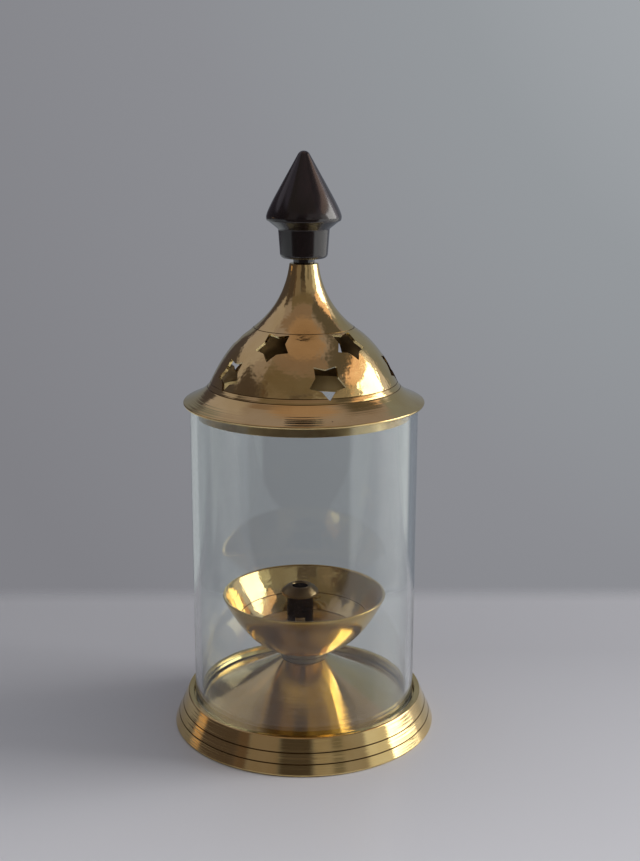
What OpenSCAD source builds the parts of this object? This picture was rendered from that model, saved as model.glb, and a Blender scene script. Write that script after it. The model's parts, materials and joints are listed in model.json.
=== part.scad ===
// Covered oil lamp: a turned brass base with a pedestal and an oil cup, a loose wick holder,
// a glass chimney that stands in the base, and a pierced brass lid with a turned wooden finial.
// The origin is the centre of the base's underside, and +Z is up. The front faces -Y.

/* [Glass chimney] */
// Outer diameter of the glass tube
glass_d = 77; // [66:0.2:100]
// Wall of the glass tube
glass_wall = 2.3; // [1.5:0.1:3.5]
// Length of the glass tube
glass_len = 106; // [90:1:160]
// Rounding of the tube's melted ends
glass_edge = 0.5; // [0.2:0.1:0.7]

/* [Base ring] */
// Height of the rim round the glass
base_h = 11.6; // [10.5:0.1:18]
// Height of the rim above the glass's seat
rim_rise = 2; // [1:0.1:3]
// Wall of the rim at its top
rim_wall = 1.9; // [1.6:0.1:4]
// How far the foot stands out past the rim
foot_flare = 4.8; // [3.5:0.1:8]
// Width of the ring that the base stands on
foot_wall = 5; // [3:0.1:6]
// Thickness of the ledge under the pedestal
ledge_t = 2; // [1.2:0.1:3]
// Width of the ledge's seat under the pedestal
ledge_seat = 4.5; // [2:0.1:5]
// Height of the lower scored line
low_line_z = 3.8; // [2.5:0.1:4.5]
// How far the lower scored line stands out past the rim
low_line_out = 3.4; // [2:0.1:3.5]
// Height of the upper scored line
high_line_z = 7.1; // [5.5:0.1:8]
// How far the upper scored line stands out past the rim
high_line_out = 1.9; // [0.5:0.1:2]
// Radius of a scored line's cut
score_r = 0.35; // [0.2:0.05:0.5]

/* [Pedestal] */
// Diameter of the pedestal's neck
neck_d = 15.2; // [13:0.2:24]
// Height of the pedestal above the glass's seat
pedestal_h = 13.9; // [10:0.1:30]
// How far the cone sags inwards at the middle of its slope
cone_sag = 0.8; // [0:0.1:1.5]
// Wall of the pedestal
pedestal_wall = 1.6; // [1:0.1:2.4]
// Thickness of the web under the neck
neck_web = 2; // [1.5:0.1:3]
// Height of the grooved collar between the pedestal and the cup
bead_h = 3; // [1.5:0.1:4]
// How far the collar stands out past the neck
bead_out = 0.6; // [0.2:0.1:1.5]

/* [Oil cup] */
// Diameter of the cup's rim
cup_d = 57; // [48:0.5:62]
// Height of the cup
cup_h = 20.7; // [17:0.1:30]
// Wall of the cup
cup_wall = 1; // [0.7:0.1:2]
// How far the cup's foot stands out past the neck
cup_foot_out = 0.7; // [0.2:0.1:2]
// Slope of the bowl at its foot, in degrees
cup_foot_lean = 13; // [8:1:20]
// Slope of the bowl at its rim, in degrees
cup_rim_lean = 66; // [60:1:80]
// Thickness of the cup's floor
cup_floor = 5; // [4.6:0.1:7]
// Diameter of the flat middle of the cup's floor
cup_flat_d = 20; // [18:0.5:26]
// Rise of the floor outside its flat middle, in degrees
cup_floor_rise = 10; // [5:1:15]

/* [Wick holder] */
// Height of the wick holder
holder_h = 18.2; // [15:0.1:26]
// Diameter of its tube
holder_d = 9.2; // [8:0.1:11]
// Diameter of its bore for the wick
holder_bore = 5.6; // [4:0.1:6.4]
// Diameter of its cap
cap_d = 13; // [11.6:0.1:16]
// Rise of the cap from its edge to the bore
cap_rise = 2.2; // [1:0.1:3]
// Thickness of the cap's edge
cap_edge = 1; // [0.6:0.1:1.6]
// Width of the oil slot across the foot
oil_slot_w = 3.5; // [2:0.1:4.5]
// Height of the oil slot
oil_slot_h = 7.5; // [4:0.1:9]
// Where the loose holder stands, right of the axis
holder_x = -1.4; // [-2:0.1:2]

/* [Lid] */
// Height of the brass lid above the glass
lid_h = 46.1; // [42:0.1:60]
// Thickness of the lid's sheet
lid_sheet = 1; // [0.7:0.1:1.3]
// How far the brim stands out past the glass
brim_over = 2.3; // [1:0.1:5]
// How far the brim reaches inside the collar
brim_in = 1.7; // [1:0.1:3]
// Slope of the brim, in degrees
brim_slope = 24; // [15:0.5:28]
// Height of the bead line above the glass
bead_line_h = 6.7; // [6:0.1:9]
// How far the bead line lies inside the brim
bead_line_in = 1.7; // [1:0.1:3]
// Diameter of the lid at its waist, where the dome turns into the neck
waist_d = 36.8; // [32:0.2:42]
// Height of the waist above the glass
waist_h = 23.7; // [22:0.1:27]
// Slope of the lid at the waist, in degrees from vertical
waist_lean = 55; // [50:1:58]
// Slope of the dome at the bead line, in degrees from vertical
dome_lean = 25; // [18:1:30]
// Diameter of the lid's neck at its top
lid_neck_d = 9.6; // [9:0.1:12]
// Slope of the neck at its top, in degrees from vertical
lid_neck_lean = 7; // [3:1:12]
// Thickness of the web that closes the neck
lid_web = 1.4; // [1:0.1:2]
// Depth that the collar reaches into the glass
collar_drop = 4.4; // [2:0.1:8]
// Thickness of the collar
collar_t = 0.9; // [0.6:0.1:1.4]

/* [Star vents] */
// Number of stars in each row
star_count = 5; // [3:1:6]
// Radius to the tips of a star
star_r = 6.4; // [4:0.1:7]
// Radius to the inner corners of a star
star_inner_r = 4; // [2:0.1:4.5]
// Place of the upper row down the dome, as a share of its curve
star_high_at = 0.18; // [0.15:0.01:0.3]
// Place of the lower row down the dome, as a share of its curve
star_low_at = 0.77; // [0.65:0.01:0.78]
// Turn of the upper row from the front, in degrees
star_high_turn = -28; // [-36:1:36]
// Turn of the lower row from the front, in degrees
star_low_turn = 15; // [-36:1:36]

/* [Finial] */
// Height of the wooden finial
finial_h = 36.2; // [35:0.1:50]
// Widest diameter of the finial
finial_d = 24.8; // [21:0.2:26]
// Height of the widest place above the finial's seat
finial_wide_h = 15.1; // [13:0.1:16.4]
// Slope of the spire, in degrees from vertical
spire_lean = 29.5; // [28:0.5:31]
// Radius of the spire's blunt tip
spire_tip_r = 1.3; // [0.8:0.1:1.8]
// Diameter of the finial's stem at its top
stem_d = 17; // [14:0.2:18]
// Height where the stem meets the underside of the spire
stem_h = 11.2; // [10:0.1:12]
// How much narrower the stem is at its foot
stem_taper = 1.4; // [0:0.1:3]
// Rounding of the stem's lower edge
stem_round = 1.4; // [0.5:0.1:2]
// Diameter of the tenon that stands on the lid
tenon_d = 7; // [6:0.1:8.4]
// Height of the tenon
tenon_h = 1.6; // [1:0.1:3]

/* [Screws] */
// Diameter of the screw that holds the cup
cup_screw_d = 4; // [3:0.5:4.5]
// Depth that it reaches into the cup's foot
cup_screw_depth = 3.2; // [2:0.1:3.4]
// Diameter of its head
cup_screw_head_d = 7.2; // [6.5:0.1:8]
// Height of its head
cup_screw_head_h = 2.4; // [1.5:0.1:3]
// Outer diameter of its washer
washer_d = 9; // [8.2:0.1:9.6]
// Thickness of its washer
washer_t = 0.8; // [0.5:0.1:1.2]
// Diameter of the wood screw that holds the finial
finial_screw_d = 3.4; // [2.5:0.1:3.8]
// Depth that it reaches into the finial
finial_screw_depth = 13; // [8:0.5:14]
// Height of its head
finial_screw_head_h = 2; // [1.5:0.1:3]
// Width of a screwdriver slot
driver_slot_w = 0.8; // [0.5:0.1:1.2]

/* [Clearances] */
// Gap between the rim and the glass
rim_gap = 0.6; // [0.3:0.1:1]
// Gap between the glass and the foot of the cone
cone_gap = 0.6; // [0.3:0.1:2]
// Gap between the glass and the lid's collar
collar_gap = 0.5; // [0.3:0.1:1]
// Gap under a piece that stands loose on another
seat_gap = 0.1; // [0.05:0.05:0.3]
// Radial gap round a screw or a pressed spigot
fit_gap = 0.05; // [0.03:0.01:0.1]
// Radial gap of a screw in a clearance hole
hole_gap = 0.15; // [0.1:0.05:0.3]
// Gap between the finial screw's head and the lid's neck
head_gap = 0.5; // [0.3:0.05:0.8]

/* [Hidden] */
$fn = 96;

brass = "#b98a3e";
dark_brass = "#8d6a35";
glass = "#cfe0e4";
rosewood = "#3a201d";

// Small broken edge on turned brass
edge = 0.5;

// Radii that follow from the glass
glass_r = glass_d / 2;
glass_in_r = glass_r - glass_wall;
channel_r = glass_r + rim_gap;
rim_r = channel_r + rim_wall;
base_r = rim_r + foot_flare;
cone_r = glass_in_r - cone_gap;
ledge_r = channel_r - ledge_seat;
collar_r = glass_in_r - collar_gap;
collar_in_r = collar_r - collar_t;
brim_seat_r = glass_r - glass_edge;
brim_r = glass_r + brim_over;

// Heights, from the table up
seat_z = base_h - rim_rise;
ledge_z = seat_z - pedestal_wall;
neck_z = seat_z + pedestal_h;
cup_z = neck_z + bead_h;
cup_top_z = cup_z + cup_h;
cup_floor_z = cup_z + cup_floor;
holder_z = cup_floor_z + seat_gap;
glass_z = seat_z + seat_gap;
glass_top_z = glass_z + glass_len;
lid_top_z = glass_top_z + lid_h;

// Screw sizes that follow from the pieces they hold
cup_screw_r = cup_screw_d / 2;
finial_screw_r = finial_screw_d / 2;
lid_neck_r = lid_neck_d / 2;
finial_head_r = lid_neck_r - lid_sheet - head_gap;

// Points from a towards c, without c, on a curve that leaves and arrives facing b
function curve(a, b, c, n = 12) =
    [for (i = [0 : n - 1]) let (t = i / n) (1 - t) ^ 2 * a + 2 * t * (1 - t) * b + t ^ 2 * c];

// Point where the line from p along u meets the line from q along v
function meet(p, u, q, v) = p + u * cross(q - p, v) / cross(u, v);

// Outline moved sideways by d, to its left where d is positive
function across(path, i) = let (v = path[i + 1] - path[i]) [-v[1], v[0]] / norm(v);
function corner(path, i) =
    let (a = across(path, max(i - 1, 0)), b = across(path, min(i, len(path) - 2))) (a + b) / (1 + a * b);
function beside(path, d) = [for (i = [0 : len(path) - 1]) path[i] + d * corner(path, i)];

// Direction down and outwards, leaning by an angle from vertical
function down_out(lean) = [sin(lean), -cos(lean)];

// Top of the lid's sheet on the brim, at a radius
function on_brim(r) =
    [r, glass_top_z + seat_gap + lid_sheet / cos(brim_slope) + (brim_seat_r - r) * tan(brim_slope)];

// Lid, from its neck over the waist, the dome and the cove under it to the brim
brim_root = on_brim(collar_in_r - brim_in);
brim_inner = on_brim(collar_in_r);
brim_edge = on_brim(brim_r);
neck_point = [lid_neck_r, lid_top_z];
waist_point = [waist_d / 2, glass_top_z + waist_h];
bead_point = [brim_root[0] - bead_line_in, glass_top_z + bead_line_h];
neck_bend = meet(neck_point, down_out(lid_neck_lean), waist_point, down_out(waist_lean));
dome_bend = meet(waist_point, down_out(waist_lean), bead_point, down_out(dome_lean));
lid_line = concat(
    curve(neck_point, neck_bend, waist_point), curve(waist_point, dome_bend, bead_point),
    curve(bead_point, brim_root, brim_inner, 8), [brim_inner, brim_edge]
);

module base_ring()
{
    low_line = [rim_r + low_line_out, low_line_z];
    high_line = [rim_r + high_line_out, high_line_z];
    outline = [
        [base_r - foot_wall, 0], [base_r - edge, 0], [base_r, edge], low_line, high_line,
        [rim_r, base_h - edge], [rim_r - edge, base_h], [channel_r, base_h],
        [channel_r, ledge_z], [ledge_r, ledge_z], [ledge_r, ledge_z - ledge_t],
        [base_r - foot_wall, ledge_z - ledge_t]
    ];
    color(brass) rotate_extrude() difference() {
        polygon(outline);
        for (line = [low_line, high_line]) translate(line) circle(score_r);
    }
}

// Cone with a flange round its foot that the glass stands on, and a spigot in the base ring's ledge
module pedestal()
{
    top = [neck_d / 2, neck_z];
    foot = [cone_r, seat_z];
    cone = concat(curve(top, (top + foot) / 2 - [0, 2 * cone_sag], foot, 16), [foot]);
    underside = beside(cone, -pedestal_wall);
    flange_r = channel_r - fit_gap;
    spigot_r = ledge_r - fit_gap;
    spigot_z = ledge_z - ledge_t;
    color(brass) rotate_extrude() difference() {
        polygon(concat(
            [[0, neck_z]], cone, [[flange_r, seat_z], [flange_r, ledge_z], [spigot_r, ledge_z]],
            [[spigot_r, spigot_z], [0, spigot_z]]
        ));
        intersection() {
            polygon(concat([[0, neck_z]], underside, [[cone_r, 0], [0, 0]]));
            square([spigot_r - pedestal_wall, neck_z - neck_web]);
        }
        square([cup_screw_r + hole_gap, neck_z + edge]);
    }
}

// Grooved collar that hides the joint between the pedestal and the cup
module neck_bead()
{
    hole_r = cup_screw_r + hole_gap;
    bead_r = neck_d / 2 + bead_out;
    color(dark_brass) rotate_extrude() difference() {
        translate([hole_r, neck_z]) square([bead_r - hole_r, bead_h]);
        translate([bead_r, neck_z + bead_h / 2]) circle(score_r);
    }
}

module cup()
{
    foot = [neck_d / 2 + cup_foot_out, cup_z];
    rim = [cup_d / 2, cup_top_z];
    bend = meet(foot, [cos(cup_foot_lean), sin(cup_foot_lean)], rim, [cos(cup_rim_lean), sin(cup_rim_lean)]);
    bowl = concat(curve(foot, bend, rim, 16), [rim]);
    above = cup_top_z + cup_h;
    flat_r = cup_flat_d / 2;
    wall_z = cup_floor_z + (rim[0] - flat_r) * tan(cup_floor_rise);
    color(brass) rotate_extrude() difference() {
        polygon(concat([[0, cup_z]], bowl, [[0, cup_top_z]]));
        intersection() {
            polygon(concat([[0, cup_z]], beside(bowl, cup_wall), [[rim[0] - cup_wall, above], [0, above]]));
            polygon([[0, cup_floor_z], [flat_r, cup_floor_z], [rim[0], wall_z], [rim[0], above], [0, above]]);
        }
        square([cup_screw_r + fit_gap, cup_z + cup_screw_depth + edge]);
    }
}

// Screw with its head at the bottom, a driver slot across it, and a blunt or pointed end
module screw(shank_r, shank_len, head_r, head_h, point = 0)
{
    difference() {
        union() {
            cylinder(r = head_r, h = head_h);
            cylinder(r = shank_r, h = head_h + shank_len - point);
            if (point > 0)
                translate([0, 0, head_h + shank_len - point]) cylinder(r1 = shank_r, r2 = shank_r / 4, h = point);
        }
        translate([-head_r - edge, -driver_slot_w / 2, -edge])
            cube([2 * (head_r + edge), driver_slot_w, head_h / 2 + edge]);
    }
}

module cup_screw()
{
    grip = washer_t + neck_web + bead_h;
    color(brass) translate([0, 0, neck_z - neck_web - washer_t - cup_screw_head_h])
        screw(cup_screw_r, grip + cup_screw_depth, cup_screw_head_d / 2, cup_screw_head_h);
}

module cup_washer()
{
    color(brass) translate([0, 0, neck_z - neck_web - washer_t]) difference() {
        cylinder(d = washer_d, h = washer_t);
        translate([0, 0, -edge]) cylinder(r = cup_screw_r + hole_gap, h = washer_t + 2 * edge);
    }
}

module wick_holder()
{
    bore_r = holder_bore / 2;
    tube_r = holder_d / 2;
    cap_r = cap_d / 2;
    cap_z = holder_h - cap_rise;
    crown = curve([cap_r, cap_z], [(cap_r + bore_r) / 2, holder_h], [bore_r + edge, holder_h], 8);
    color(dark_brass) translate([holder_x, 0, holder_z]) difference() {
        rotate_extrude() polygon(concat(
            [[bore_r, 0], [tube_r, 0], [tube_r, cap_z - cap_edge], [cap_r, cap_z - cap_edge]],
            crown, [[bore_r + edge, holder_h], [bore_r, holder_h]]
        ));
        translate([-oil_slot_w / 2, -cap_r, -edge]) cube([oil_slot_w, cap_d, oil_slot_h + edge]);
    }
}

module chimney()
{
    color(glass, 0.35) translate([0, 0, glass_z]) rotate_extrude() polygon([
        [glass_in_r + glass_edge, 0], [glass_r - glass_edge, 0], [glass_r, glass_edge],
        [glass_r, glass_len - glass_edge], [glass_r - glass_edge, glass_len],
        [glass_in_r + glass_edge, glass_len], [glass_in_r, glass_len - glass_edge], [glass_in_r, glass_edge]
    ]);
}

// One row of stars, each cut square to the dome with a tip down the slope
module star_row(at, turn)
{
    centre = (1 - at) ^ 2 * waist_point + 2 * at * (1 - at) * dome_bend + at ^ 2 * bead_point;
    slope = (1 - at) * (dome_bend - waist_point) + at * (bead_point - dome_bend);
    tilt = atan2(-slope[1], slope[0]);
    star = [for (i = [0 : 9]) (i % 2 == 0 ? star_r : star_inner_r) * [cos(36 * i), sin(36 * i)]];
    for (i = [0 : star_count - 1])
        rotate(turn - 90 + 360 * i / star_count) translate([centre[0], 0, centre[1]]) rotate([0, tilt, 0])
            linear_extrude(height = 2 * star_r, center = true) polygon(star);
}

module lid_dome()
{
    inside = beside(lid_line, -lid_sheet);
    brim_foot = inside[len(inside) - 1];
    color(brass) difference() {
        rotate_extrude() difference() {
            polygon(concat([[0, lid_top_z]], lid_line, [brim_foot, [0, brim_foot[1]]]));
            intersection() {
                polygon(concat([[0, lid_top_z]], inside, [brim_foot - [0, edge], [0, brim_foot[1] - edge]]));
                square([brim_r, lid_top_z - lid_web]);
            }
            square([finial_screw_r + hole_gap, lid_top_z + edge]);
        }
        star_row(star_high_at, star_high_turn);
        star_row(star_low_at, star_low_turn);
    }
}

// Ring under the brim that keeps the lid on the glass
module lid_collar()
{
    foot_z = glass_top_z - collar_drop;
    sheet = [0, lid_sheet / cos(brim_slope)];
    color(dark_brass) rotate_extrude() polygon([
        [collar_in_r, foot_z], [collar_r, foot_z], on_brim(collar_r) - sheet, on_brim(collar_in_r) - sheet
    ]);
}

module finial()
{
    wide = [finial_d / 2, finial_wide_h];
    tip = [spire_tip_r, finial_h];
    spire_bend = meet(tip, down_out(spire_lean), wide, [0, 1]);
    cone_foot = (tip + 2 * spire_bend) / 3;
    cone_top = tip + spire_tip_r * down_out(spire_lean);
    under = wide - [stem_round / 2, stem_round];
    stem_top = [stem_d / 2, stem_h];
    stem_foot_r = (stem_d - stem_taper) / 2;
    outline = concat(
        [[0, 0], [tenon_d / 2, 0], [tenon_d / 2, tenon_h]],
        curve([stem_foot_r - stem_round, tenon_h], [stem_foot_r, tenon_h], [stem_foot_r, tenon_h + stem_round], 6),
        [[stem_foot_r, tenon_h + stem_round], stem_top],
        curve(under, [wide[0], under[1]], wide, 6), curve(wide, spire_bend, cone_foot, 8), [cone_foot],
        curve(cone_top, tip, [0, finial_h], 8), [[0, finial_h]]
    );
    color(rosewood) translate([0, 0, lid_top_z]) rotate_extrude() difference() {
        polygon(outline);
        square([finial_screw_r + fit_gap, finial_screw_depth + edge]);
    }
}

module finial_screw()
{
    grip = lid_web + finial_screw_depth;
    color(brass) translate([0, 0, lid_top_z - lid_web - finial_screw_head_h])
        screw(finial_screw_r, grip, finial_head_r, finial_screw_head_h, point = finial_screw_d);
}

base_ring();
pedestal();
neck_bead();
cup();
cup_screw();
cup_washer();
wick_holder();
lid_dome();
lid_collar();
finial();
finial_screw();
chimney();
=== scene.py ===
# Covered oil lamp: turned and polished brass, a glass chimney and a lacquered wooden finial.
# Outlines are in millimetres. A point is (radius, height), and a third number softens its corner.
import json
import math

import bmesh
import bpy
from mathutils import Matrix, Vector

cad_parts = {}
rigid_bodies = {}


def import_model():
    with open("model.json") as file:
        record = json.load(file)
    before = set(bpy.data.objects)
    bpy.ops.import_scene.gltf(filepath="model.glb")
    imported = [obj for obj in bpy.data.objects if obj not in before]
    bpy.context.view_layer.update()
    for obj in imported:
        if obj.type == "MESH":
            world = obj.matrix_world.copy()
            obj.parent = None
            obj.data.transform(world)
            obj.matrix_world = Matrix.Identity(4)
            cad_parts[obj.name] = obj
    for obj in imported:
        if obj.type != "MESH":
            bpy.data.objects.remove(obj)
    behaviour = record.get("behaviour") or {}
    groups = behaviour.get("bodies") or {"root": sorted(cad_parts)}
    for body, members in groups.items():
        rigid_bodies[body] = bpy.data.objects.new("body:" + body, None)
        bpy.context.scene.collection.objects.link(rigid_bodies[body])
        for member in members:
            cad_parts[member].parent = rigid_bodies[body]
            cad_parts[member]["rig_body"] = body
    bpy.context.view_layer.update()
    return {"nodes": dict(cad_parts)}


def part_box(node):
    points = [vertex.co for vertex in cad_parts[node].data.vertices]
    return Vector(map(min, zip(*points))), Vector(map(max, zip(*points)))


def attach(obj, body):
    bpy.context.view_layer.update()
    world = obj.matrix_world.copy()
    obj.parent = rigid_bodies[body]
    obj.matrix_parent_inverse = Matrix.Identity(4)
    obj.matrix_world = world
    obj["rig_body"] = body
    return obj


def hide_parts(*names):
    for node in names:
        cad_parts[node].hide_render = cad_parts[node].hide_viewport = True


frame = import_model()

MM = 0.001
MICRON = 1e-6
scene = bpy.context.scene
scene.view_settings.view_transform = "Standard"

# Steps round the axis, and segments in a softened corner
ROUND_STEPS = 256
CORNER_STEPS = 4
STAR_CORNER_STEPS = 2
# Steps along the curved stretches of the outlines
CONE_STEPS, BOWL_STEPS, CAP_STEPS = 40, 40, 12
LID_NECK_STEPS, DOME_STEPS, COVE_STEPS = 28, 36, 20
SHOULDER_STEPS, SPIRE_STEPS, TIP_STEPS = 8, 16, 12
# Points closer than this are one point, and edges sharper than this stay crisp
MERGE_MM = 0.002
CRISP_DEG = 40

# Lowest and highest corner of each imported piece, in millimetres
span = {node: [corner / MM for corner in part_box(node)] for node in frame["nodes"]}

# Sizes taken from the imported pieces
base_r, base_h = span["base_ring"][1].x, span["base_ring"][1].z
flange_r, neck_z = span["pedestal"][1].x, span["pedestal"][1].z
spigot_z = span["pedestal"][0].z
bead_r = span["neck_bead"][1].x
cup_z, cup_top = span["cup"][0].z, span["cup"][1].z
cup_r = span["cup"][1].x
holder_low, holder_high = span["wick_holder"]
holder_x = (holder_low.x + holder_high.x) / 2
glass_foot, glass_top = span["chimney"][0].z, span["chimney"][1].z
glass_r = span["chimney"][1].x
brim_r, lid_top = span["lid_dome"][1].x, span["lid_dome"][1].z
collar_foot, collar_top = span["lid_collar"][0].z, span["lid_collar"][1].z
collar_r = span["lid_collar"][1].x
finial_seat, finial_tip = span["finial"][0].z, span["finial"][1].z
finial_r = span["finial"][1].x

# Softening of corners, from hardly broken to well rounded
crisp, eased, soft, rounded = 0.15, 0.2, 0.3, 0.4
# Width and depth of the scored lines on the base, and of the finer ones on the cup and the lid
score_w, score_d = 0.4, 0.3
fine_w, fine_d = 0.28, 0.12
# Gap of a close fit, and under the lid's brim
fit_gap = 0.05
seat_gap = 0.1
# Inner outlines leave out the points that lie this close to where their next stretch starts
hollow_trim, rim_trim, web_trim = 0.3, 0.5, 0.2

# Base ring
foot_flare, foot_wall, foot_hollow_soft = 4.8, 5.0, 0.5
toe_in, toe_h = 0.4, 0.5
rim_wall = 1.9
ledge_seat, ledge_t = 4.5, 2.0
low_line_out, low_line_z = 3.4, 3.8
high_line_out, high_line_z = 1.9, 7.1

# Pedestal
neck_r, neck_web = 7.6, 2.0
cone_gap, cone_sag = 0.6, 0.8
pedestal_wall = 1.6
screw_pass_r = 2.15

# Oil cup, with its lean and rise in degrees
cup_foot_out, cup_foot_lean, cup_rim_lean = 0.7, 13, 66
cup_wall = 1.0
cup_floor, cup_flat_r, cup_floor_rise = 5.0, 10.0, 10
cup_line_z = 39.0
cup_screw_hole_r, cup_screw_hole_h = 2.05, 3.7

# Wick holder
holder_bore_r, holder_tube_r = 2.8, 4.6
cap_rise, cap_edge = 2.2, 1.0
mouth_flare, mouth_d = 0.5, 0.4
oil_slot_w, oil_slot_h = 3.5, 7.5

# Glass chimney
glass_wall, glass_edge, glass_melt = 2.3, 0.5, 0.9

# Lid and its collar, with slopes and leans in degrees
lid_sheet = 1.0
brim_slope, brim_in = 24, 1.7
bead_line_in, bead_line_h = 1.7, 6.7
waist_r, waist_h, waist_lean = 18.4, 23.7, 55
dome_lean = 25
lid_neck_r, lid_neck_lean, lid_neck_soft = 4.8, 7, 0.25
lid_web, lid_hole_r = 1.4, 1.85
collar_t = 0.9
# Step of the cove that carries the lowest scored line
cove_line = 5
# Faces that look further inwards than this cosine are sooty
sooty_facing = -0.2

# Stars: how many in a row, their tips and sizes, and each row's share down the dome and turn in degrees
star_count, star_tips = 5, 5
star_r, star_inner_r, star_round = 6.4, 4.0, 0.3
star_rows = [(0.18, -28), (0.77, 15)]

# Finial, with its lean in degrees
tenon_r, tenon_h = 3.5, 1.6
stem_r, stem_h, stem_taper, stem_round = 8.5, 11.2, 0.7, 1.4
finial_wide_h = 15.1
spire_lean, spire_tip_r = 29.5, 1.3
finial_hole_r, finial_hole_h = 1.75, 13.5

# Heights and radii that follow from them
ledge_z = spigot_z + ledge_t
seat_z = ledge_z + pedestal_wall
channel_r = base_r - foot_flare - rim_wall
ledge_r = channel_r - ledge_seat
collar_in_r = collar_r - collar_t


def on_curve(a, b, c, t):
    """Point at a share t of the curve from a to c that leaves and arrives facing b."""
    return tuple((1 - t) ** 2 * p + 2 * t * (1 - t) * q + t * t * r for p, q, r in zip(a, b, c))


def curve(a, b, c, count):
    """Points from a towards c, without c, on the curve that leaves and arrives facing b."""
    return [on_curve(a, b, c, i / count) for i in range(count)]


def meet(p, u, q, v):
    """Point where the line from p along u meets the line from q along v."""
    gap = Vector(q) - Vector(p)
    share = (gap.x * v[1] - gap.y * v[0]) / (u[0] * v[1] - u[1] * v[0])
    return p[0] + u[0] * share, p[1] + u[1] * share


def down_out(lean):
    """Direction down and outwards, leaning by an angle from vertical."""
    return math.sin(math.radians(lean)), -math.cos(math.radians(lean))


def up_out(rise):
    """Direction up and outwards, rising by an angle from level."""
    return math.cos(math.radians(rise)), math.sin(math.radians(rise))


def left_of(a, b):
    """Direction to the left of the way from a to b."""
    way = (Vector(b[:2]) - Vector(a[:2])).normalized()
    return Vector((-way.y, way.x))


def beside(path, distance):
    """A path moved sideways, to its left where the distance is positive."""
    sides = [left_of(a, b) for a, b in zip(path, path[1:])]
    before, after = [sides[0], *sides], [*sides, sides[-1]]
    steps = [distance * (a + b) / (1 + a.dot(b)) for a, b in zip(before, after)]
    return [tuple(Vector(point[:2]) + step) for point, step in zip(path, steps)]


def scored(a, at, b, depth=score_d, width=score_w):
    """A scored line at a point of an outline between a and b, cut to the left of the outline."""
    point = Vector(at)
    edges = [point + (Vector(p[:2]) - point).normalized() * width / 2 for p in (a, b)]
    return [tuple(edges[0]), tuple(point + left_of(a, b) * depth), tuple(edges[1])]


def fine_line(a, at, b):
    """A finer scored line, cut to the right of the outline."""
    return scored(a, at, b, -fine_d, fine_w)


def turned(outline, closed=True):
    """A bmesh of an outline that is spun round the upright axis, with its softened corners rounded."""
    bm = bmesh.new()
    verts = [bm.verts.new((point[0] * MM, 0, point[1] * MM)) for point in outline]
    for a, b in zip(verts, verts[1:] + verts[:1] * closed):
        bm.edges.new((a, b))
    for softening in sorted({point[2] for point in outline if len(point) > 2}):
        corners = [v for v, point in zip(verts, outline) if point[2:] == (softening,)]
        bmesh.ops.bevel(bm, geom=corners, offset=softening * MM, affect="VERTICES",
                        segments=CORNER_STEPS, profile=0.5, material=-1, clamp_overlap=True)
    bmesh.ops.spin(bm, geom=bm.verts[:] + bm.edges[:], axis=(0, 0, 1), angle=math.tau,
                   steps=ROUND_STEPS, use_merge=True)
    bmesh.ops.remove_doubles(bm, verts=bm.verts[:], dist=MERGE_MM * MM)
    bmesh.ops.recalc_face_normals(bm, faces=bm.faces[:])
    return bm


def cut_away(bm, cutter):
    """The bmesh less what the closed bmesh of a cutter covers."""
    shapes = []
    for shape in (bm, cutter):
        mesh = bpy.data.meshes.new("shape")
        shape.to_mesh(mesh)
        shape.free()
        shapes.append(bpy.data.objects.new("shape", mesh))
        scene.collection.objects.link(shapes[-1])
    cut = shapes[0].modifiers.new("cut", "BOOLEAN")
    cut.object = shapes[1]
    cut.solver = "EXACT"
    result = bmesh.new()
    result.from_object(shapes[0], bpy.context.evaluated_depsgraph_get())
    for shape in shapes:
        bpy.data.meshes.remove(shape.data)
    return result


def dress(bm, index, picked):
    """Gives the faces that a test picks the material of an index."""
    for face in bm.faces:
        if picked(face):
            face.material_index = index


def darken_scored_lines(bm, index, lines, width):
    """Gives the faces of scored lines, each at a (radius, height), the material of an index."""
    def in_line(face):
        centre = face.calc_center_median() / MM
        spot = Vector((math.hypot(centre.x, centre.y), centre.z))
        return any((spot - Vector(line)).length < width / 2 for line in lines)

    dress(bm, index, in_line)


def piece(name, bm, node, *materials):
    """Makes a finished piece that stands for a CAD node and rides on its body."""
    mesh = bpy.data.meshes.new(name)
    bm.to_mesh(mesh)
    bm.free()
    mesh.shade_smooth()
    mesh.set_sharp_from_angle(angle=math.radians(CRISP_DEG))
    for material in materials:
        mesh.materials.append(material)
    made = bpy.data.objects.new(name, mesh)
    scene.collection.objects.link(made)
    even = made.modifiers.new("even_shading", "WEIGHTED_NORMAL")
    even.keep_sharp = True
    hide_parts(node)
    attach(made, frame["nodes"][node]["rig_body"])


def linear(hex_colour):
    """A colour written as sRGB hex, as linear red, green, blue and alpha."""
    channels = [int(hex_colour[i:i + 2], 16) / 255 for i in (1, 3, 5)]
    return (*[c / 12.92 if c <= 0.04045 else ((c + 0.055) / 1.055) ** 2.4 for c in channels], 1.0)


def per_mm(size):
    """Scale of a pattern whose features are this many millimetres across."""
    return 1 / (size * MM)


# Sockets that go by number, because a mix node and a range node repeat their names for each kind of data
MIX_SHARE, MIX_UNDER, MIX_OVER, MIX_COLOUR = 0, 6, 7, 2
RANGE_VECTOR, RANGE_FROM_MIN, RANGE_FROM_MAX = 6, 7, 8


def feed(tree, node, inputs):
    """Gives a node's inputs their values, or links them to the sockets that drive them."""
    for name, value in inputs.items():
        if isinstance(value, bpy.types.NodeSocket):
            tree.links.new(value, node.inputs[name])
        else:
            node.inputs[name].default_value = value


def add(tree, kind, inputs, stops=(), **settings):
    """Adds a node with its settings, its inputs and its ramp's stops."""
    node = tree.nodes.new(kind)
    for name, value in settings.items():
        setattr(node, name, value)
    feed(tree, node, inputs)
    for i, (place, colour) in enumerate(stops):
        stop = node.color_ramp.elements[i] if i < 2 else node.color_ramp.elements.new(place)
        stop.position = place
        stop.color = linear(colour)
    return node


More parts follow.
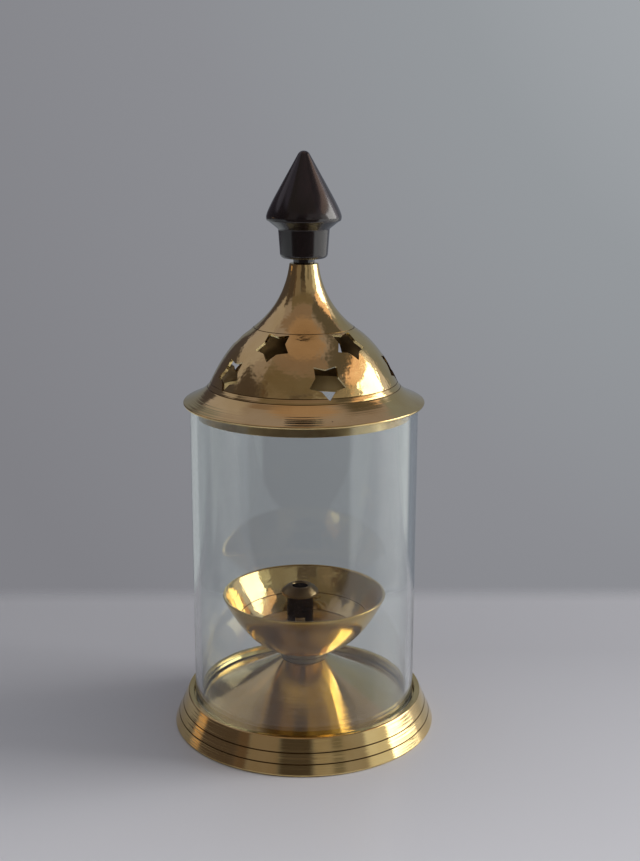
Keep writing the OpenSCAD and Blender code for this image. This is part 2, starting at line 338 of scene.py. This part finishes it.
def new_material(name):
    """An empty material with its shader, and the Object coordinates that its patterns read."""
    material = bpy.data.materials.new(name)
    material.use_nodes = True
    tree = material.node_tree
    shader = tree.nodes["Principled BSDF"]
    place = add(tree, "ShaderNodeTexCoord", {}).outputs["Object"]
    return material, tree, shader, place


def ring_section(tree, place):
    """Place in the turned section, (radius, 0, height), so that a pattern on it runs in rings."""
    flat = add(tree, "ShaderNodeVectorMath", {0: place, 1: (1, 1, 0)}, operation="MULTIPLY")
    radius = add(tree, "ShaderNodeVectorMath", {0: flat.outputs[0]}, operation="LENGTH")
    height = add(tree, "ShaderNodeSeparateXYZ", {0: place})
    section = add(tree, "ShaderNodeCombineXYZ", {"X": radius.outputs["Value"], "Z": height.outputs["Z"]})
    return section.outputs[0]


def turned_brass(name, colour, tarnish, roughness, ring_um, smear=0.8, dent_um=0.0, axis_x=0.0):
    """Yellow brass, turned and buffed. It mirrors the room, drawn out across the tool's faint rings,
    with shallow dents, cloudy finger marks, browner patches of tarnish, and a few pits from casting."""
    # The tool's rings are about 0.1 mm apart, and are drawn 0.8 mm apart so that they show
    ring_mm, dent_mm, cloud_mm = 0.8, 8, 11
    # About four in ten cells of this width hold a pit of this radius
    cell_mm, pit_mm, pit_share = 9, 0.36, 0.4
    # The metal is smoother than its mean where it is clean, and rougher where it is clouded
    clean, clouded = 0.7 * roughness, 1.5 * roughness
    material, tree, shader, place = new_material(name)
    centred = add(tree, "ShaderNodeMapping", {"Vector": place, "Location": (-axis_x * MM, 0, 0)})
    section = ring_section(tree, centred.outputs[0])
    rings = add(tree, "ShaderNodeTexNoise", {"Vector": section, "Scale": per_mm(ring_mm), "Detail": 2.0})
    dents = add(tree, "ShaderNodeTexNoise", {"Vector": place, "Scale": per_mm(dent_mm), "Detail": 3.0,
                                             "Roughness": 0.6})
    clouds = add(tree, "ShaderNodeTexNoise", {"Vector": place, "Scale": per_mm(cloud_mm), "Detail": 4.0})
    cells = add(tree, "ShaderNodeTexVoronoi", {"Vector": place, "Scale": per_mm(cell_mm)})
    near = add(tree, "ShaderNodeMath", {0: cells.outputs["Distance"], 1: pit_mm / cell_mm},
               operation="LESS_THAN")
    chosen = add(tree, "ShaderNodeMath", {0: cells.outputs["Color"], 1: 1 - pit_share},
                 operation="GREATER_THAN")
    pit = add(tree, "ShaderNodeMath", {0: near.outputs[0], 1: chosen.outputs[0]}, operation="MULTIPLY")
    tone = add(tree, "ShaderNodeValToRGB", {"Fac": clouds.outputs["Fac"]},
               stops=[(0.35, colour), (0.75, tarnish)])
    spotted = add(tree, "ShaderNodeMix", {MIX_SHARE: pit.outputs[0], MIX_UNDER: tone.outputs[0],
                                          MIX_OVER: linear("#2a1d10")}, data_type="RGBA")
    rough = add(tree, "ShaderNodeMapRange", {"Value": clouds.outputs["Fac"], "From Min": 0.3,
                                             "From Max": 0.75, "To Min": clean, "To Max": clouded})
    ridges = add(tree, "ShaderNodeMath", {0: rings.outputs["Fac"], 1: ring_um}, operation="MULTIPLY")
    relief = add(tree, "ShaderNodeMath", {0: dents.outputs["Fac"], 1: dent_um, 2: ridges.outputs[0]},
                 operation="MULTIPLY_ADD")
    bump = add(tree, "ShaderNodeBump", {"Height": relief.outputs[0], "Strength": 1.0, "Distance": MICRON})
    tangent = add(tree, "ShaderNodeTangent", {}, direction_type="RADIAL", axis="Z")
    feed(tree, shader, {
        "Base Color": spotted.outputs[MIX_COLOUR], "Roughness": rough.outputs[0],
        "Normal": bump.outputs[0], "Tangent": tangent.outputs[0], "Metallic": 1.0,
        "Anisotropic": smear, "Anisotropic Rotation": 0.25,
    })
    return material


def drawn_glass():
    """Clear soda-lime tube, drawn and cut. It bends what lies behind it near its edges, mirrors the light
    in long upright streaks, and carries a film of dust that shows pale where it is seen edge on."""
    # The tube's waves run on along the way it was drawn, about eight times as long as they are wide
    wave_mm, wave_um, wave_squeeze = 14, 80, 0.12
    finger_mm = 22
    material, tree, shader, place = new_material("drawn_glass")
    along = add(tree, "ShaderNodeMapping", {"Vector": place, "Scale": (1, 1, wave_squeeze)})
    waves = add(tree, "ShaderNodeTexNoise", {"Vector": along.outputs[0], "Scale": per_mm(wave_mm),
                                             "Detail": 1.0})
    smears = add(tree, "ShaderNodeTexNoise", {"Vector": place, "Scale": per_mm(finger_mm), "Detail": 5.0})
    rough = add(tree, "ShaderNodeMapRange", {"Value": smears.outputs["Fac"], "From Min": 0.5,
                                             "From Max": 0.8, "To Min": 0.0, "To Max": 0.08})
    bump = add(tree, "ShaderNodeBump", {"Height": waves.outputs["Fac"], "Strength": 1.0,
                                        "Distance": wave_um * MICRON})
    feed(tree, shader, {
        "Base Color": linear("#f7fbfa"), "Roughness": rough.outputs[0], "Normal": bump.outputs[0],
        "IOR": 1.52, "Transmission Weight": 1.0, "Sheen Weight": 0.1,
    })
    return material


def lacquered_rosewood():
    """Dark rosewood, turned and lacquered. It is near black, with red-brown streaks along the grain,
    under a soft gloss that is slightly uneven."""
    # Pores and streaks run on along the grain, about twelve times as long as they are wide
    grain_mm, grain_squeeze = 1.2, 0.08
    dent_mm, dent_um = 4, 200
    material, tree, shader, place = new_material("lacquered_rosewood")
    along = add(tree, "ShaderNodeMapping", {"Vector": place, "Scale": (1, 1, grain_squeeze)})
    grain = add(tree, "ShaderNodeTexNoise", {"Vector": along.outputs[0], "Scale": per_mm(grain_mm),
                                             "Detail": 4.0})
    tone = add(tree, "ShaderNodeValToRGB", {"Fac": grain.outputs["Fac"]},
               stops=[(0.3, "#0f0a0c"), (0.75, "#1e1113")])
    dents = add(tree, "ShaderNodeTexNoise", {"Vector": place, "Scale": per_mm(dent_mm), "Detail": 3.0})
    bump = add(tree, "ShaderNodeBump", {"Height": dents.outputs["Fac"], "Strength": 1.0,
                                        "Distance": dent_um * MICRON})
    feed(tree, shader, {
        "Base Color": tone.outputs[0], "Normal": bump.outputs[0], "Roughness": 0.5,
        "Specular IOR Level": 0.1, "Coat Weight": 1.0, "Coat Roughness": 0.16, "Coat IOR": 1.68,
    })
    return material


# Brasses: clean colour, tarnished colour, mean roughness and height of the tool's rings in microns
buffed_brass = turned_brass("buffed_brass", "#f2d99c", "#e2c484", 0.1, 10, dent_um=280)
ringed_brass = turned_brass("ringed_brass", "#f2d99c", "#e2c484", 0.1, 90)
satin_brass = turned_brass("satin_brass", "#efd8a2", "#dec48a", 0.12, 36)
# A more orange copy of the brass for the cup's outside: its extra orange is a painted reflection of the
# brass pedestal that the outside mirrors
painted_reflection_brass = turned_brass("painted_reflection_brass", "#e3c074", "#c9a256", 0.13, 24, smear=0.6)
raw_brass = turned_brass("raw_cast_brass", "#dcc48e", "#ac8d5e", 0.45, 30)
sooty_brass = turned_brass("sooty_brass", "#8a6f46", "#5a452a", 0.5, 30)
# Darker brass for the faces of the scored lines
line_dark_brass = turned_brass("line_dark_brass", "#8a6c40", "#64502e", 0.4, 10)
dull_brass = turned_brass("tarnished_brass", "#ad9670", "#7c684a", 0.42, 14, axis_x=holder_x)
oiled_brass = turned_brass("oil_stained_brass", "#43321f", "#241a12", 0.25, 10, axis_x=holder_x)
screw_brass = turned_brass("machined_brass", "#e4cf96", "#c8a868", 0.24, 20)


def base_ring():
    """Flared ring with two scored lines, a rim round the glass and a ledge for the pedestal."""
    rim_r = base_r - foot_flare
    foot_in_r = base_r - foot_wall
    toe = (base_r, toe_h, soft)
    low_line = (rim_r + low_line_out, low_line_z)
    high_line = (rim_r + high_line_out, high_line_z)
    rim = (rim_r, base_h, rounded)
    outline = [
        (foot_in_r, 0, rounded), (base_r - toe_in, 0, eased), toe,
        *scored(toe, low_line, high_line), *scored(low_line, high_line, rim),
        rim, (channel_r, base_h, soft), (channel_r, ledge_z, eased), (ledge_r, ledge_z, eased),
        (ledge_r, spigot_z, eased), (foot_in_r, spigot_z, foot_hollow_soft),
    ]
    bm = turned(outline)
    darken_scored_lines(bm, 1, [low_line, high_line], score_w)
    piece("brass_base_ring", bm, "base_ring", ringed_brass, line_dark_brass)


def pedestal():
    """Slightly hollow cone with a flat flange that the glass stands on, and open below."""
    spigot_r = ledge_r - fit_gap
    hollow_r = spigot_r - pedestal_wall
    web_z = neck_z - neck_web
    top = (neck_r, neck_z)
    foot = (glass_r - glass_wall - cone_gap, seat_z)
    bend = ((top[0] + foot[0]) / 2, (top[1] + foot[1]) / 2 - 2 * cone_sag)
    cone = [*curve(top, bend, foot, CONE_STEPS), foot]
    under = [(r, z) for r, z in beside(cone, -pedestal_wall)
             if r < hollow_r - hollow_trim and z < web_z - hollow_trim]
    corner = meet(under[-1], Vector(under[-1]) - Vector(under[-2]), (hollow_r, 0), (0, 1))
    outline = [
        (screw_pass_r, neck_z), (*top, crisp), *cone[1:-1], (*foot, rounded), (flange_r, seat_z, eased),
        (flange_r, ledge_z, eased), (spigot_r, ledge_z), (spigot_r, spigot_z, eased),
        (hollow_r, spigot_z, eased), corner, *reversed(under), (under[0][0], web_z), (screw_pass_r, web_z),
    ]
    piece("brass_pedestal", turned(outline), "pedestal", satin_brass)


def neck_bead():
    """Short collar with a groove round its middle, dark with old polish."""
    foot = (bead_r, neck_z)
    head = (bead_r, cup_z)
    groove = scored(foot, (bead_r, (neck_z + cup_z) / 2), head)
    outline = [(screw_pass_r, neck_z), (*foot, crisp), *groove, (*head, crisp), (screw_pass_r, cup_z)]
    piece("brass_neck_bead", turned(outline), "neck_bead", dull_brass)


def oil_cup():
    """Thin bowl with a rounded rim, and scored lines in its wall and round its floor."""
    foot = (neck_r + cup_foot_out, cup_z)
    rim = (cup_r, cup_top)
    bend = meet(foot, up_out(cup_foot_lean), rim, up_out(cup_rim_lean))
    bowl = [*curve(foot, bend, rim, BOWL_STEPS), rim]
    floor_z = cup_z + cup_floor
    rise = math.tan(math.radians(cup_floor_rise))
    # The floor is flat in the middle, and rises to the wall round it
    wall = [(r, z) for r, z in reversed(beside(bowl, cup_wall))
            if floor_z + (r - cup_flat_r) * rise < z < cup_top - rim_trim]
    line = next(i for i, point in enumerate(wall) if point[1] < cup_line_z)
    lines_at = [wall[line], wall[-1]]
    floor_edge = (cup_flat_r, floor_z)
    wall[-1:] = fine_line(wall[-2], wall[-1], floor_edge)
    wall[line:line + 1] = fine_line(wall[line - 1], wall[line], wall[line + 1])
    hole_top = cup_z + cup_screw_hole_h
    outline = [
        (0, hole_top), (cup_screw_hole_r, hole_top), (cup_screw_hole_r, cup_z), (*foot, eased),
        *bowl[1:-1], (*rim, rounded), (cup_r - cup_wall, cup_top, rounded), *wall, floor_edge, (0, floor_z),
    ]
    bm = turned(outline, closed=False)
    # Faces that look outwards take the more orange brass, a painted reflection of the brass pedestal below
    level = Vector((1, 1, 0))
    dress(bm, 1, lambda face: face.normal.dot(face.calc_center_median() * level) > 0)
    darken_scored_lines(bm, 2, lines_at, fine_w)
    piece("brass_oil_cup", bm, "cup", buffed_brass, painted_reflection_brass, line_dark_brass)


def wick_holder():
    """Loose tube with a domed cap, a bore for the wick and a slot across its foot for the oil."""
    foot_z, top_z = holder_low.z, holder_high.z
    cap_r = (holder_high.x - holder_low.x) / 2
    cap_z = top_z - cap_rise
    cap_foot = cap_z - cap_edge
    mouth = (holder_bore_r + mouth_flare, top_z)
    dome = curve((cap_r, cap_z), ((cap_r + holder_bore_r) / 2, top_z), mouth, CAP_STEPS)
    outline = [
        (holder_bore_r, foot_z, eased), (holder_tube_r, foot_z, eased), (holder_tube_r, cap_foot),
        (cap_r, cap_foot, soft), (cap_r, cap_z, soft), *dome[1:], (*mouth, crisp),
        (holder_bore_r, top_z - mouth_d, crisp),
    ]
    slot = bmesh.new()
    bmesh.ops.create_cube(slot, size=MM)
    bmesh.ops.scale(slot, vec=(oil_slot_w, 2 * cap_r, 2 * oil_slot_h), verts=slot.verts[:])
    bmesh.ops.translate(slot, vec=(0, 0, foot_z * MM), verts=slot.verts[:])
    bm = cut_away(turned(outline), slot)
    bmesh.ops.translate(bm, vec=(holder_x * MM, 0, 0), verts=bm.verts[:])
    dress(bm, 1, lambda face: face.calc_center_median().z < cap_foot * MM)
    piece("brass_wick_holder", bm, "wick_holder", dull_brass, oiled_brass)


def chimney():
    """Glass tube with melted ends."""
    inner_r = glass_r - glass_wall
    ends = [(inner_r, glass_foot), (glass_r, glass_foot), (glass_r, glass_top), (inner_r, glass_top)]
    piece("glass_chimney", turned([(*end, glass_melt) for end in ends]), "chimney", drawn_glass())


def star_punch():
    """A star-shaped punch that stands upright, with one tip along X."""
    corners = 2 * star_tips
    punch = bmesh.new()
    # A circle has no corner straight ahead, so it is turned by half a step
    tip_ahead = Matrix.Rotation(math.tau / (2 * corners), 4, "Z")
    bmesh.ops.create_circle(punch, cap_ends=True, segments=corners, radius=star_r * MM, matrix=tip_ahead)
    punch.verts.ensure_lookup_table()
    first = max(range(corners), key=lambda k: punch.verts[k].co.x)
    inner = [punch.verts[k] for k in range(corners) if (k - first) % 2]
    share = star_inner_r / star_r
    bmesh.ops.scale(punch, vec=(share, share, 1), verts=inner)
    bmesh.ops.bevel(punch, geom=punch.verts[:], offset=star_round * MM, affect="VERTICES",
                    segments=STAR_CORNER_STEPS, profile=0.5, material=-1)
    bmesh.ops.translate(punch, vec=(0, 0, -star_r * MM), verts=punch.verts[:])
    raised = bmesh.ops.extrude_face_region(punch, geom=punch.faces[:])["geom"]
    top = [v for v in raised if isinstance(v, bmesh.types.BMVert)]
    bmesh.ops.translate(punch, vec=(0, 0, 2 * star_r * MM), verts=top)
    bmesh.ops.recalc_face_normals(punch, faces=punch.faces[:])
    return punch


def star_cutter(rows):
    """Rows of star-shaped punches, each square to the dome with a tip down the slope."""
    cutter = bmesh.new()
    for centre, slope, turn in rows:
        tilt = Matrix.Rotation(math.atan2(-slope[1], slope[0]), 4, "Y")
        stand = Matrix.Translation((centre[0] * MM, 0, centre[1] * MM)) @ tilt
        for i in range(star_count):
            # A row's turn is counted from the front, which is a quarter turn before X
            spin = Matrix.Rotation(math.radians(turn - 90 + 360 * i / star_count), 4, "Z")
            punch = star_punch()
            bmesh.ops.transform(punch, matrix=spin @ stand, verts=punch.verts[:])
            mesh = bpy.data.meshes.new("punch")
            punch.to_mesh(mesh)
            punch.free()
            cutter.from_mesh(mesh)
            bpy.data.meshes.remove(mesh)
    return cutter


def on_brim(r):
    """Point on top of the brim's sheet at a radius."""
    lean = math.radians(brim_slope)
    seat = glass_top + seat_gap + lid_sheet / math.cos(lean)
    return r, seat + (glass_r - glass_edge - r) * math.tan(lean)


def lid():
    """Sheet lid with a neck, a waist, a dome and a cove that runs out to the brim, pierced by stars."""
    neck = (lid_neck_r, lid_top)
    waist = (waist_r, glass_top + waist_h)
    root, inner_end, edge = [on_brim(r) for r in (collar_in_r - brim_in, glass_r - glass_edge, brim_r)]
    bead = (root[0] - bead_line_in, glass_top + bead_line_h)
    neck_bend = meet(neck, down_out(lid_neck_lean), waist, down_out(waist_lean))
    dome_bend = meet(waist, down_out(waist_lean), bead, down_out(dome_lean))
    upper = curve(neck, neck_bend, waist, LID_NECK_STEPS)
    dome = curve(waist, dome_bend, bead, DOME_STEPS)
    cove = curve(bead, root, inner_end, COVE_STEPS)
    before, after = cove_line - 2, cove_line + 2
    outer = [
        *upper[1:-2], *fine_line(upper[-3], upper[-2], upper[-1]), upper[-1], *dome[:-1],
        *fine_line(dome[-1], bead, cove[1]), *cove[2:before + 1],
        *fine_line(cove[before], cove[cove_line], cove[after]), *cove[after:], inner_end,
    ]
    inner = beside([*upper, *dome, *cove, inner_end, edge], -lid_sheet)
    web_z = lid_top - lid_web
    below_web = [point for point in inner[:-1] if point[1] < web_z - web_trim]
    outline = [
        (lid_hole_r, web_z), (lid_hole_r, lid_top), (*neck, lid_neck_soft), *outer, (*edge, rounded),
        (*inner[-1], rounded), *reversed(below_web), (lid_neck_r - lid_sheet, web_z),
    ]
    slope_above, slope_below = Vector(dome_bend) - Vector(waist), Vector(bead) - Vector(dome_bend)
    rows = []
    for share, turn in star_rows:
        slope = slope_above * (1 - share) + slope_below * share
        rows.append((on_curve(waist, dome_bend, bead, share), slope, turn))
    bm = cut_away(turned(outline), star_cutter(rows))
    hub = Vector((0, 0, glass_top * MM))

    def looks_in(face):
        return face.normal.dot((face.calc_center_median() - hub).normalized()) < sooty_facing

    dress(bm, 2, lambda face: face.calc_center_median().z < bead[1] * MM)
    dress(bm, 1, looks_in)
    darken_scored_lines(bm, 3, [upper[-2], bead, cove[cove_line]], fine_w)
    piece("pierced_brass_lid", bm, "lid_dome", buffed_brass, sooty_brass, ringed_brass, line_dark_brass)


def lid_collar():
    """Ring under the brim that keeps the lid on the glass."""
    rise = collar_t * math.tan(math.radians(brim_slope))
    outline = [
        (collar_in_r, collar_foot, soft), (collar_r, collar_foot, soft), (collar_r, collar_top - rise),
        (collar_in_r, collar_top),
    ]
    piece("brass_lid_collar", turned(outline), "lid_collar", raw_brass)


def finial():
    """Turned spire on a tapered stem, which stands on a short tenon."""
    wide = (finial_r, finial_seat + finial_wide_h)
    tip = (spire_tip_r, finial_tip)
    bend = meet(tip, down_out(spire_lean), wide, (0, 1))
    cone_foot = tuple((Vector(tip) + 2 * Vector(bend)) / 3)
    cone_top = tuple(Vector(tip) + spire_tip_r * Vector(down_out(spire_lean)))
    under = (wide[0] - stem_round / 2, wide[1] - stem_round)
    stem_foot = (stem_r - stem_taper, finial_seat + tenon_h)
    hole_z = finial_seat + finial_hole_h
    outline = [
        (0, hole_z), (finial_hole_r, hole_z), (finial_hole_r, finial_seat), (tenon_r, finial_seat, eased),
        (tenon_r, stem_foot[1], eased), (*stem_foot, stem_round), (stem_r, finial_seat + stem_h, rounded),
        *curve(under, (wide[0], under[1]), wide, SHOULDER_STEPS),
        *curve(wide, bend, cone_foot, SPIRE_STEPS), cone_foot,
        *curve(cone_top, tip, (0, finial_tip), TIP_STEPS), (0, finial_tip),
    ]
    piece("rosewood_finial", turned(outline, closed=False), "finial", lacquered_rosewood())


for build in (base_ring, pedestal, neck_bead, oil_cup, wick_holder, chimney, lid, lid_collar, finial):
    build()

# The screws and the washer keep their own solids
for node in ("cup_screw", "cup_washer", "finial_screw"):
    frame["nodes"][node].data.materials.clear()
    frame["nodes"][node].data.materials.append(screw_brass)

# Half the table's width and depth, and the width of its soft edge, in metres
table_x, table_y, table_fade = 0.5, 0.15, 0.024
# How far the table's middle lies before the lamp
table_ahead = 0.018


def pale_table():
    """Satin laminate, pale blue-grey, that fades out at its edges. Its colour carries painted light: lighter
    in front and darker towards the back.
    """
    material, tree, shader, place = new_material("satin_laminate")
    parts = add(tree, "ShaderNodeSeparateXYZ", {0: place})
    inside = []
    for axis, edge in (("X", table_x), ("Y", table_y)):
        away = add(tree, "ShaderNodeMath", {0: parts.outputs[axis]}, operation="ABSOLUTE")
        fade = add(tree, "ShaderNodeMapRange", {"Value": away.outputs[0], "From Min": edge,
                                                "From Max": edge - table_fade},
                   interpolation_type="SMOOTHSTEP")
        inside.append(fade.outputs[0])
    alpha = add(tree, "ShaderNodeMath", {0: inside[0], 1: inside[1]}, operation="MULTIPLY")
    # Painted light: the colour runs from light in front to darker at the back, where the lamps' light falls
    # off
    depth = add(tree, "ShaderNodeMapRange", {"Value": parts.outputs["Y"], "From Min": -table_y,
                                             "From Max": table_y})
    tone = add(tree, "ShaderNodeValToRGB", {"Fac": depth.outputs[0]},
               stops=[(0.2, "#dedee2"), (0.75, "#b9b9bd")])
    feed(tree, shader, {"Alpha": alpha.outputs[0], "Base Color": tone.outputs[0], "Roughness": 0.35})
    return material


def table():
    """Table top that the lamp stands on."""
    bm = bmesh.new()
    bmesh.ops.create_grid(bm, x_segments=1, y_segments=1, size=1.0)
    bmesh.ops.scale(bm, vec=(table_x, table_y, 1), verts=bm.verts[:])
    mesh = bpy.data.meshes.new("table")
    bm.to_mesh(mesh)
    bm.free()
    mesh.materials.append(pale_table())
    top = bpy.data.objects.new("table", mesh)
    top.location.y = -table_ahead
    scene.collection.objects.link(top)


# What the brass mirrors round the lamp, each laid over those before it: its colour, its reach from left
# to right in degrees round from the front, and its reach in height as a sine
ROOM_PARTS = {
    "upper_wall": ("#8c838d", -200, 200, 0.62, 1.2),
    "back_right": ("#7e838b", 130, 200, -1.2, 0.62),
    "left_wall": ("#464147", -158, -60, -0.17, 0.48),
    "left_upper_wall": ("#9a939c", -153, -95, 0.42, 0.8),
    "left_floor": ("#aaaeb0", -165, -58, -0.7, -0.17),
    "cupboard": ("#484041", -100, -62, -0.06, 0.62),
    "shelf": ("#564842", -62, -50, -0.1, 0.62),
    "front_left": ("#746a66", -50, -22, -0.1, 0.62),
    "front_right": ("#8c8684", 8, 64, -0.1, 0.62),
    "bright_front": ("#9a958f", 8, 24, -0.1, 0.24),
    "chair": ("#68645f", 25, 35, 0.12, 0.36),
    "dark_gap": ("#403a38", -22, 7, -0.1, 0.42),
    "gap_top": ("#554c4a", -20, 12, 0.42, 0.62),
    "front_high": ("#696058", -70, 50, 0.62, 0.82),
    "ceiling": ("#7c6c6a", -110, 50, 0.82, 1.2),
    "zenith": ("#967f75", -200, 200, 0.94, 1.2),
    "window_wall": ("#807e7c", 64, 132, -0.1, 0.62),
    "sheer_curtain": ("#cdcbc6", 57, 86, -0.1, 0.5),
    "drawn_curtain": ("#cfcad4", 110, 130, -0.1, 0.55),
    "curtain_rail": ("#565150", 50, 135, 0.66, 0.9),
    "floor": ("#4c4341", -58, 58, -1.2, -0.1),
    "sunlit_floor": ("#f2f4f2", 48, 133, -0.6, -0.06),
    "door": ("#c8a27c", -113, -101, -0.08, 0.1),
}
BACK_WALL = "#72767d"
# Half the width of a part's soft edge, in degrees and in height
EDGE_DEG, EDGE_RISE = 3, 0.03
# Direction in which the wall behind the lamp is lightest, and its tones on the way there
WALL_LIGHT = Vector((0.5, 0.83, 0.25))
WALL_TONES = [(0.6, "#808085"), (0.8, "#8c8d92"), (0.9, "#95999d"), (0.95, "#a1a5a9")]


def room_part(tree, spot, under, colour, left, right, low, high):
    """A colour laid over part of the room, with soft edges; the spot is (azimuth, height)."""
    # Nothing reads the third axis, and its values only keep its range from being empty
    centre = Vector((left + right, low + high, 0)) / 2
    half = Vector((right - left, high - low, 2)) / 2
    edge = Vector((EDGE_DEG, EDGE_RISE, 0.1))
    off = add(tree, "ShaderNodeVectorMath", {0: spot, 1: centre}, operation="SUBTRACT")
    away = add(tree, "ShaderNodeVectorMath", {0: off.outputs[0]}, operation="ABSOLUTE")
    inside = add(tree, "ShaderNodeMapRange", {RANGE_VECTOR: away.outputs[0], RANGE_FROM_MIN: half + edge,
                                              RANGE_FROM_MAX: half - edge},
                 data_type="FLOAT_VECTOR", interpolation_type="SMOOTHSTEP")
    shares = add(tree, "ShaderNodeSeparateXYZ", {0: inside.outputs["Vector"]})
    share = add(tree, "ShaderNodeMath", {0: shares.outputs["X"], 1: shares.outputs["Y"]},
                operation="MULTIPLY")
    laid = add(tree, "ShaderNodeMix", {MIX_SHARE: share.outputs[0], MIX_UNDER: under,
                                       MIX_OVER: linear(colour)}, data_type="RGBA")
    return laid.outputs[MIX_COLOUR]


def soft_room():
    """Plain grey wall to the eye, also through the glass. The brass mirrors a dim tan room instead,
    dark on the left with a wooden door, and bright with curtains and a sunlit floor on the right."""
    world = bpy.data.worlds.new("soft_room")
    scene.world = world
    world.use_nodes = True
    tree = world.node_tree
    place = add(tree, "ShaderNodeTexCoord", {}).outputs["Generated"]
    parts = add(tree, "ShaderNodeSeparateXYZ", {0: place})
    front = add(tree, "ShaderNodeMath", {0: parts.outputs["Y"], 1: -1.0}, operation="MULTIPLY")
    turn = add(tree, "ShaderNodeMath", {0: parts.outputs["X"], 1: front.outputs[0]}, operation="ARCTAN2")
    azimuth = add(tree, "ShaderNodeMath", {0: turn.outputs[0]}, operation="DEGREES")
    spot = add(tree, "ShaderNodeCombineXYZ", {"X": azimuth.outputs[0], "Y": parts.outputs["Z"]})
    room = linear(BACK_WALL)
    for part in ROOM_PARTS.values():
        room = room_part(tree, spot.outputs[0], room, *part)
    lit = add(tree, "ShaderNodeVectorMath", {0: place, 1: WALL_LIGHT}, operation="DOT_PRODUCT")
    wall = add(tree, "ShaderNodeValToRGB", {"Fac": lit.outputs["Value"]}, stops=WALL_TONES)
    # The eye sees the wall directly, and through the glass where nothing has mirrored the ray before
    path = add(tree, "ShaderNodeLightPath", {})
    unmirrored = add(tree, "ShaderNodeMath", {0: path.outputs["Glossy Depth"], 1: 0.5},
                     operation="LESS_THAN")
    through = add(tree, "ShaderNodeMath", {0: path.outputs["Is Transmission Ray"], 1: unmirrored.outputs[0]},
                  operation="MULTIPLY")
    seen = add(tree, "ShaderNodeMath", {0: path.outputs["Is Camera Ray"], 1: through.outputs[0]},
               operation="MAXIMUM")
    colour = add(tree, "ShaderNodeMix", {MIX_SHARE: seen.outputs[0], MIX_UNDER: room,
                                         MIX_OVER: wall.outputs[0]}, data_type="RGBA")
    feed(tree, tree.nodes["Background"], {"Color": colour.outputs[MIX_COLOUR]})


# Point that the lights are aimed at, halfway up the lamp
AIM = Vector((0, 0, 0.1))


def softbox(name, azimuth, elevation, distance, width, height, power, colour, mirrored=True):
    """Soft light at a place round the lamp; azimuth runs in degrees from the front to the right."""
    a, e = math.radians(azimuth), math.radians(elevation)
    away = Vector((math.sin(a) * math.cos(e), -math.cos(a) * math.cos(e), math.sin(e)))
    light = bpy.data.lights.new(name, "AREA")
    light.shape = "RECTANGLE"
    light.size, light.size_y = width, height
    light.energy = power
    light.color = linear(colour)[:3]
    placed = bpy.data.objects.new(name, light)
    placed.location = AIM + away * distance
    placed.rotation_euler = away.to_track_quat("Z", "Y").to_euler()
    placed.visible_camera = False
    placed.visible_glossy = mirrored
    placed.visible_transmission = mirrored
    scene.collection.objects.link(placed)


# The camera's place in metres, its turns in degrees, and its lens and sensor in millimetres
EYE = (0, -0.4208, 0.2065)
PITCH, YAW, ROLL = 13.57, 0.74, 0.14
LENS, SENSOR = 53.19, 36
NEAREST = 0.01


def camera():
    """Camera at the photograph's place, a little above the lamp and looking down at it."""
    pitch, yaw, roll = [math.radians(angle) for angle in (PITCH, YAW, ROLL)]
    ahead = Vector((math.sin(yaw) * math.cos(pitch), math.cos(yaw) * math.cos(pitch), -math.sin(pitch)))
    upright = ahead.to_track_quat("-Z", "Y").to_matrix()
    data = bpy.data.cameras.new("camera")
    data.sensor_width = SENSOR
    data.lens = LENS
    data.clip_start = NEAREST
    eye = bpy.data.objects.new("camera", data)
    eye.location = EYE
    eye.rotation_euler = (upright @ Matrix.Rotation(roll, 3, "Z")).to_euler()
    scene.collection.objects.link(eye)
    scene.camera = eye


table()
soft_room()
softbox("window", azimuth=97.5, elevation=15.5, distance=1.2, width=0.76, height=0.75, power=5.7,
        colour="#fffdf8")
softbox("sunlit_curtain", azimuth=92, elevation=39.5, distance=1.2, width=0.9, height=0.22, power=0.45,
        colour="#ffcca9")
softbox("daylight", azimuth=92, elevation=28, distance=1.1, width=0.5, height=0.5, power=5.4,
        colour="#fbfcff", mirrored=False)
softbox("sky_glow", azimuth=0, elevation=89, distance=1.2, width=1.6, height=1.6, power=5.2,
        colour="#dff2f8", mirrored=False)
camera()
